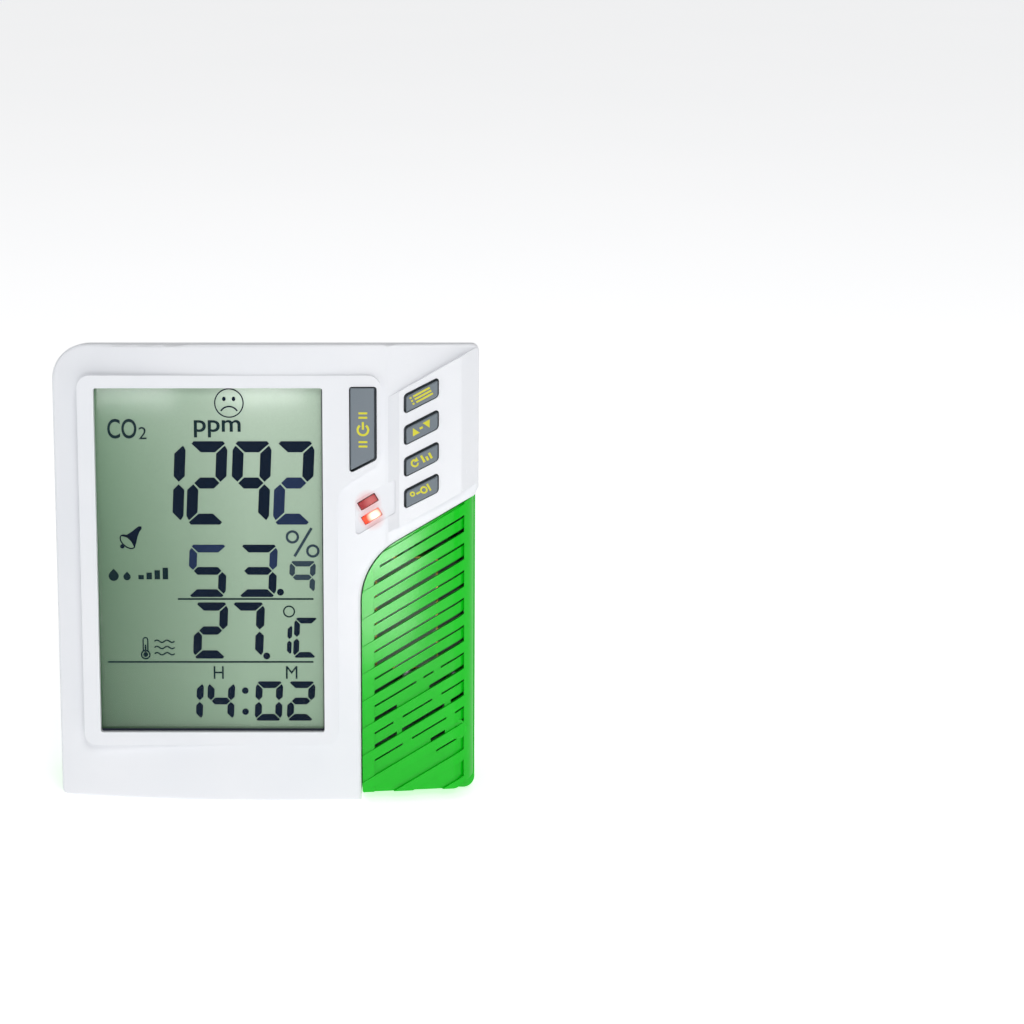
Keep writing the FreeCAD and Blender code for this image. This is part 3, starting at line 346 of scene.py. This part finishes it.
def stroke(points, width, closed=False):
    """A line of even width through the points, as one four-sided polygon to a stretch."""
    count = len(points)
    edges = []
    for i, (x, y) in enumerate(points):
        before = points[i - 1] if i or closed else points[i]
        after = points[(i + 1) % count] if i + 1 < count or closed else points[i]
        dx, dy = after[0] - before[0], after[1] - before[1]
        length = math.hypot(dx, dy) or 1
        across = (-dy / length * width / 2, dx / length * width / 2)
        edges.append(((x + across[0], y + across[1]), (x - across[0], y - across[1])))
    nexts = edges[1:] + edges[:1] if closed else edges[1:]
    return [[near[0], far[0], far[1], near[1]] for near, far in zip(edges, nexts)]


def ring(centre, radius, width, squash=1.0):
    return stroke(arc_points(centre, radius, 0, 360, 40, squash)[:-1], width, closed=True)


SEGMENTS_LIT = {
    "0": "abcdef", "1": "bc", "2": "abged", "3": "abgcd", "4": "fgbc", "5": "afgcd",
    "7": "abc", "9": "abcfg", "C": "afed",
}
SLANT = math.tan(math.radians(2.8))

# A bar's ends stand off its neighbours by a share of the gap, and its corners are nipped off
# by a share of its thickness.
MITRE_GAP = 0.7
CORNER_NIP = 0.22


def segment(letter, width, height, thick, gap):
    """One bar of a seven-bar digit, upright, with the digit's lower left corner at the origin."""
    half, mid = height / 2, thick / 2
    g = gap * MITRE_GAP
    nip = thick * CORNER_NIP
    top = [
        (g + nip * 0.6, height - nip), (g + nip * 1.5, height), (width - g - nip * 1.5, height),
        (width - g - nip * 0.6, height - nip), (width - g - thick, height - thick),
        (g + thick, height - thick),
    ]
    left = [
        (nip, height - g - nip * 1.4), (g * 0.6 + nip * 1.2, height - g - nip * 1.6),
        (thick, height - g - thick), (thick, half + mid + g), (mid + g * 0.3, half + g),
        (0, half + mid + g), (0, height - thick * 0.8),
    ]
    middle = [
        (mid + g, half), (thick + g, half + mid), (width - thick - g, half + mid),
        (width - mid - g, half), (width - thick - g, half - mid), (thick + g, half - mid),
    ]
    right = [(width - x, y) for x, y in left]
    shapes = {
        "a": top, "g": middle, "f": left, "b": right,
        "d": [(x, height - y) for x, y in top],
        "e": [(x, height - y) for x, y in left],
        "c": [(x, height - y) for x, y in right],
    }
    return shapes[letter]


def digit(character, corner, width, height, thick, gap=0.45, only=None):
    """The lit bars of one character, leaning a little to the right."""
    lit = SEGMENTS_LIT[character]
    bars = [segment(bar, width, height, thick, gap) for bar in lit if only is None or bar in only]
    return [[(corner[0] + x + y * SLANT, corner[1] + y) for x, y in bar] for bar in bars]


def pressed(name, shape, low, high, material, body):
    """A piece of flat artwork on the face, from w = low to w = high, that rides on a body."""
    mesh = bmesh.new()
    for polygon in shape:
        area = sum(a[0] * b[1] - b[0] * a[1] for a, b in zip(polygon, polygon[1:] + polygon[:1]))
        points = polygon if area > 0 else polygon[::-1]
        lower = [mesh.verts.new(on_face(u, v, low)) for u, v in points]
        upper = [mesh.verts.new(on_face(u, v, high)) for u, v in points]
        mesh.faces.new(upper)
        mesh.faces.new(lower[::-1])
        for i in range(len(points)):
            j = (i + 1) % len(points)
            mesh.faces.new((lower[i], lower[j], upper[j], upper[i]))
    return shown(name, mesh, material, body)


def shown(name, mesh, material, body):
    """The finished piece, linked to the scene and riding on its body."""
    data = bpy.data.meshes.new(name)
    mesh.to_mesh(data)
    mesh.free()
    data.materials.append(material)
    piece = bpy.data.objects.new(name, data)
    bpy.context.scene.collection.objects.link(piece)
    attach(piece, body)
    return piece


BOLD_SIGNS = ("CO", "ppm")
BOLDER = 0.012


def lettered(name, lines, low, high, material, body):
    """Unit signs, each fitted into its box (u from, u to, v from, v to)."""
    mesh = bmesh.new()
    for text, (left, right, foot, head) in lines:
        curve = bpy.data.curves.new(name + "_outline", "FONT")
        curve.body = text
        curve.resolution_u = 6
        curve.offset = BOLDER if text in BOLD_SIGNS else 0
        writer = bpy.data.objects.new(name + "_outline", curve)
        bpy.context.scene.collection.objects.link(writer)
        bpy.context.view_layer.update()
        outline = writer.evaluated_get(bpy.context.evaluated_depsgraph_get())
        flat = bpy.data.meshes.new_from_object(outline)
        bpy.data.objects.remove(writer)
        bpy.data.curves.remove(curve)
        xs, ys = [p.co.x for p in flat.vertices], [p.co.y for p in flat.vertices]
        wide = (right - left) / (max(xs) - min(xs))
        tall = (head - foot) / (max(ys) - min(ys))
        placed = [(left + (x - min(xs)) * wide, foot + (y - min(ys)) * tall) for x, y in zip(xs, ys)]
        for face in flat.polygons:
            mesh.faces.new([mesh.verts.new(on_face(*placed[i], high)) for i in face.vertices])
        bpy.data.meshes.remove(flat)
    bmesh.ops.remove_doubles(mesh, verts=mesh.verts, dist=1e-7)
    extruded = bmesh.ops.extrude_face_region(mesh, geom=mesh.faces[:])
    downward = on_face(0, 0, low) - on_face(0, 0, high)
    for item in extruded["geom"]:
        if isinstance(item, bmesh.types.BMVert):
            item.co += downward
    bmesh.ops.recalc_face_normals(mesh, faces=mesh.faces)
    return shown(name, mesh, material, body)


# ---------------------------------------------------------------- the display
# The readings are printed on the display cell, from w = LCD_LOW to w = LCD_HIGH.
LCD_LOW, LCD_HIGH = -3.09, -3.04


def on_display(name, shape, material=INK):
    """Flat artwork printed on the display."""
    pressed(name, shape, LCD_LOW, LCD_HIGH, material, "case")


BIG = dict(width=13.3, height=28.8, thick=3.8, gap=0.6)
MEDIUM = dict(width=13.0, height=18.3, thick=2.7, gap=0.5)
co2_reading = (
    digit("1", (-42.9, 97.5), **BIG) + digit("2", (-28.6, 97.5), **BIG) + digit("9", (-13.5, 97.5), **BIG)
    + digit("2", (1.2, 97.5), **BIG, only="ab")
)
on_display("co2_reading", co2_reading)
on_display("co2_reading_faint", digit("2", (1.2, 97.5), **BIG, only="ged"), FAINT_INK)

humidity_reading = (
    digit("5", (-28.4, 72.2), **MEDIUM, only="gcd") + digit("3", (-11.0, 72.2), **MEDIUM, only="agcd")
    + dot((3.6, 73.9), 1.2)
)
humidity_faint = (
    digit("5", (-28.4, 72.2), **MEDIUM, only="af") + digit("3", (-11.0, 72.2), **MEDIUM, only="b")
)
humidity_tenths = digit("9", (6.4, 73.4), width=9.0, height=11.4, thick=1.9, gap=0.4)
on_display("humidity_reading", humidity_reading)
on_display("humidity_reading_faint", humidity_faint, FAINT_INK)
on_display("humidity_tenths", humidity_tenths, GREY_INK)

temperature_reading = (
    digit("2", (-27.0, 50.5), width=11.6, height=19.8, thick=2.9, gap=0.5)
    + digit("7", (-14.3, 50.5), width=11.6, height=19.8, thick=2.9, gap=0.5)
    + dot((-1.4, 51.4), 1.2)
    + digit("1", (0.3, 51.4), width=6.8, height=11.4, thick=1.6, gap=0.4)
    + digit("C", (7.7, 50.8), width=8.2, height=14.1, thick=2.0, gap=0.4)
)
on_display("temperature_reading", temperature_reading)
on_display("degree_ring", ring((6.5, 67.1), 1.85, 0.5), THIN_INK)

CLOCK = dict(width=9.5, height=14.0, thick=2.4, gap=0.4)
clock_reading = (
    digit("1", (-33.5, 28.4), **CLOCK) + digit("4", (-22.6, 28.4), **CLOCK)
    + dot((-9.0, 39.1), 1.15) + dot((-9.0, 31.6), 1.15)
    + digit("0", (-5.9, 28.4), **CLOCK) + digit("2", (5.3, 28.4), **CLOCK)
)
on_display("clock_reading", clock_reading)

rules = stroke([(-31.9, 71.5), (15.0, 71.5)], 0.6) + stroke([(-56.6, 49.3), (14.8, 49.3)], 0.6)
on_display("display_rules", rules, THIN_INK)

air_face = (
    ring((-13.3, 139.4), 4.85, 0.42) + dot((-15.0, 140.8), 0.62, 1.25) + dot((-11.7, 140.8), 0.62, 1.25)
    + stroke(arc_points((-13.3, 134.9), 3.3, 148, 32, 16), 0.5)
)
on_display("air_quality_face", air_face)

percent = (
    ring((7.9, 93.2), 1.9, 0.85) + ring((14.9, 88.3), 1.9, 0.85)
    + stroke([(8.6, 86.4), (14.5, 96.3)], 0.95)
)
on_display("percent_sign", percent, GREY_INK)

bell_dome = [[
    (-49.2, 93.9), (-47.4, 95.0), (-45.9, 96.2), (-45.0, 96.9), (-44.0, 96.9), (-43.9, 96.0),
    (-44.7, 95.0), (-45.4, 93.2), (-45.9, 90.9), (-46.6, 89.6), (-47.6, 91.6), (-49.0, 93.0),
    (-51.2, 93.6),
]]
bell_mouth = turned(ring((0, 0), 3.0, 0.45, 0.55), -42, (-48.9, 91.5))
bell = bell_dome + bell_mouth + dot((-50.7, 89.9), 0.75)
on_display("alarm_bell", bell)

# Drops and a filled gauge stand for humidity, a thermometer and moving air for the air's warmth.
def drop(centre, size):
    tip = (centre[0], centre[1] + size * 1.45)
    return [[tip] + arc_points(centre, size, 30, -210, 20)]


humidity_mark = drop((-53.9, 79.6), 1.75) + drop((-49.3, 79.3), 1.25)
for step, left in enumerate((-45.4, -42.6, -39.8, -37.0)):
    humidity_mark += bar(left, 78.4, left + 1.9, 79.9 + 0.85 * step)
on_display("humidity_mark", humidity_mark, THIN_INK)

warmth_mark = (
    ring((-43.4, 51.9), 1.45, 0.5) + dot((-43.4, 51.9), 0.85)
    + stroke([(-44.2, 53.1), (-44.2, 57.1)], 0.45) + stroke([(-42.6, 53.1), (-42.6, 57.1)], 0.45)
    + stroke(arc_points((-43.4, 57.1), 0.8, 0, 180, 10), 0.45)
    + stroke([(-43.4, 52.0), (-43.4, 55.4)], 0.6)
)
for height in (52.2, 54.4, 56.6):
    warmth_mark += stroke([(-40.3 + 0.5 * i, height + 0.42 * math.sin(i * 0.9)) for i in range(15)], 0.5)
on_display("warmth_mark", warmth_mark, THIN_INK)

unit_signs = [
    ("CO", (-55.0, -45.0, 127.2, 134.0)), ("2", (-44.3, -41.6, 127.0, 131.2)),
    ("ppm", (-25.4, -9.4, 127.6, 133.6)),
    ("H", (-19.9, -16.4, 43.3, 47.8)), ("M", (5.2, 9.2, 43.3, 47.8)),
]
lettered("unit_signs", unit_signs, LCD_LOW, LCD_HIGH, THIN_INK, "case")


# A thin dark strip lies on the lens along the window's lower and right edges.
dark_edge = bar(-59.4, 24.9, 19.6, 26.0) + bar(18.3, 26.0, 19.6, 145.0)
pressed("display_dark_edge", dark_edge, LENS_FACE + 0.01, LENS_FACE + 0.05, EDGE_BLACK, "case")


# ---------------------------------------------------------------- the marks on the keys
# The small keys slope up to the right. A mark starts just under its key's top and stands a little proud.
KEY_SLOPE = 28.6
MARK_SUNK, MARK_PROUD = 0.01, 0.05


def on_key(name, shape, degrees):
    """Yellow marks printed on a key's top, turned to run along it."""
    (left, right), (foot, head), (_, top) = face_extent(name + "_button")
    centre = ((left + right) / 2, (foot + head) / 2)
    placed = turned(shape, degrees, centre)
    pressed(name + "_mark", placed, top - MARK_SUNK, top + MARK_PROUD, YELLOW, name + "_key")


power_mark = (
    stroke(arc_points((0, 0), 1.8, 125, 415, 24), 0.75) + bar(-0.38, 0.1, 0.38, 2.7)
    + bar(-1.5, 3.8, 1.5, 4.5) + bar(-1.5, 5.3, 1.5, 6.0)
    + bar(-1.5, -4.5, 1.5, -3.8) + bar(-1.5, -6.0, 1.5, -5.3)
)
on_key("power", power_mark, 0)
mode_mark = [
    polygon for row in (-1.1, 0, 1.1)
    for polygon in bar(-2.5, row - 0.31, 3.9, row + 0.31) + bar(-3.9, row - 0.31, -3.2, row + 0.31)
]
on_key("mode", mode_mark, KEY_SLOPE)
select_mark = (
    [[(-3.9, -1.2), (-1.2, -1.2), (-2.55, 1.3)], [(1.2, 1.2), (3.9, 1.2), (2.55, -1.3)]]
    + bar(-0.6, -0.35, 0.6, 0.35)
)
on_key("select", select_mark, KEY_SLOPE)
recall_mark = (
    stroke(arc_points((-2.5, 0), 1.1, 60, 340, 16), 0.6) + [[(-2.6, 0.3), (-1.1, 1.6), (-0.9, 0.1)]]
    + bar(0.2, -1.3, 1.0, 1.3) + bar(1.6, -1.3, 2.4, 0.2) + bar(3.0, -1.3, 3.8, 0.8)
)
on_key("recall", recall_mark, KEY_SLOPE)
unit_mark = (
    ring((-3.1, 0.6), 0.65, 0.5) + bar(-1.9, -0.33, -0.4, 0.33) + ring((1.0, 0), 1.0, 0.6)
    + bar(2.6, -1.3, 3.3, 1.3)
)
on_key("unit", unit_mark, KEY_SLOPE)


# ---------------------------------------------------------------- floor, light and camera

FLOOR_REACH = 8
FLOOR_GLOW = 0.62


def studio_floor():
    """A wide sheet of near-white paper that the monitor stands on."""
    mesh = bmesh.new()
    bmesh.ops.create_grid(mesh, x_segments=8, y_segments=8, size=FLOOR_REACH)
    data = bpy.data.meshes.new("studio_floor")
    mesh.to_mesh(data)
    mesh.free()
    paper = Finish("floor_paper")
    tone = paper.mixed(paper.spread(paper.noise(0.4), 0, 1), srgb(240, 240, 241), srgb(237, 238, 239))
    paper.link(tone, paper.shader.inputs["Base Color"])
    paper.bumped(paper.noise(0.0012), 0.00005)
    paper.set(Roughness=0.85, Specular_IOR_Level=0.2)
    paper.set(Emission_Color=(1, 1, 1, 1), Emission_Strength=FLOOR_GLOW)
    data.materials.append(paper.material)
    floor = bpy.data.objects.new("studio_floor", data)
    bpy.context.scene.collection.objects.link(floor)


def soft_light(name, place, aim, size, power, colour=(1, 1, 1)):
    """A rectangular light at a place, turned towards a point."""
    data = bpy.data.lights.new(name, "AREA")
    data.shape = "RECTANGLE"
    data.size, data.size_y = size
    data.energy = power
    data.color = colour
    light = bpy.data.objects.new(name, data)
    light.location = place
    light.rotation_euler = (Vector(aim) - Vector(place)).to_track_quat("-Z", "Y").to_euler()
    bpy.context.scene.collection.objects.link(light)


TARGET = Vector((0.0563, -0.02524, 0.10225))
EYE = Vector((0.0563, -0.6720, 0.3124))
MIDDLE = (0, 0, 0.08)
FACING = -PRESS
GLARE_FAR = 1.3


def glare(name, point, outward, size, power):
    """A light where a glossy point of the face that looks outward mirrors it to the camera."""
    inward = (point - EYE).normalized()
    place = point + (inward - 2 * inward.dot(outward) * outward) * GLARE_FAR
    soft_light(name, place, point, size, power)


studio_floor()
soft_light("key_light", (0.40, -1.30, 1.25), MIDDLE, (0.6, 0.6), 8.2)
soft_light("fill_light", (-1.2, -0.8, 0.7), MIDDLE, (0.8, 0.8), 0.8, (0.92, 0.96, 1))
soft_light("top_light", (0.1, 0.15, 1.4), MIDDLE, (1.2, 1.0), 2.8)

# Two small glares lie along the display's top edge.
for u in (-46, -2):
    glare("glare_light_%d" % abs(u), on_face(u, 144, -3), FACING, (0.08, 0.03), 0.09)

# A sheen fades down the vent panel, where the bowed front has turned a little to the right.
PANEL_TURN = 0.076
panel_facing = (FACING + Vector((PANEL_TURN, 0, 0))).normalized()
for v, power in ((94, 0.95), (72, 0.55), (50, 0.27)):
    glare("panel_light_%d" % v, on_face(38, v, -2), panel_facing, (0.20, 0.07), power)

world = bpy.data.worlds.new("studio_air")
world.use_nodes = True
air = world.node_tree.nodes["Background"]
air.inputs["Color"].default_value = (0.97, 0.98, 1, 1)
air.inputs["Strength"].default_value = 0.29
bpy.context.scene.world = world
bpy.context.scene.view_settings.view_transform = "Standard"

optics = bpy.data.cameras.new("camera")
optics.lens, optics.sensor_width = 69.9, 36
optics.shift_x = 0.08
camera = bpy.data.objects.new("camera", optics)
camera.location = EYE
camera.rotation_euler = (TARGET - EYE).to_track_quat("-Z", "Y").to_euler()
bpy.context.scene.collection.objects.link(camera)
bpy.context.scene.camera = camera
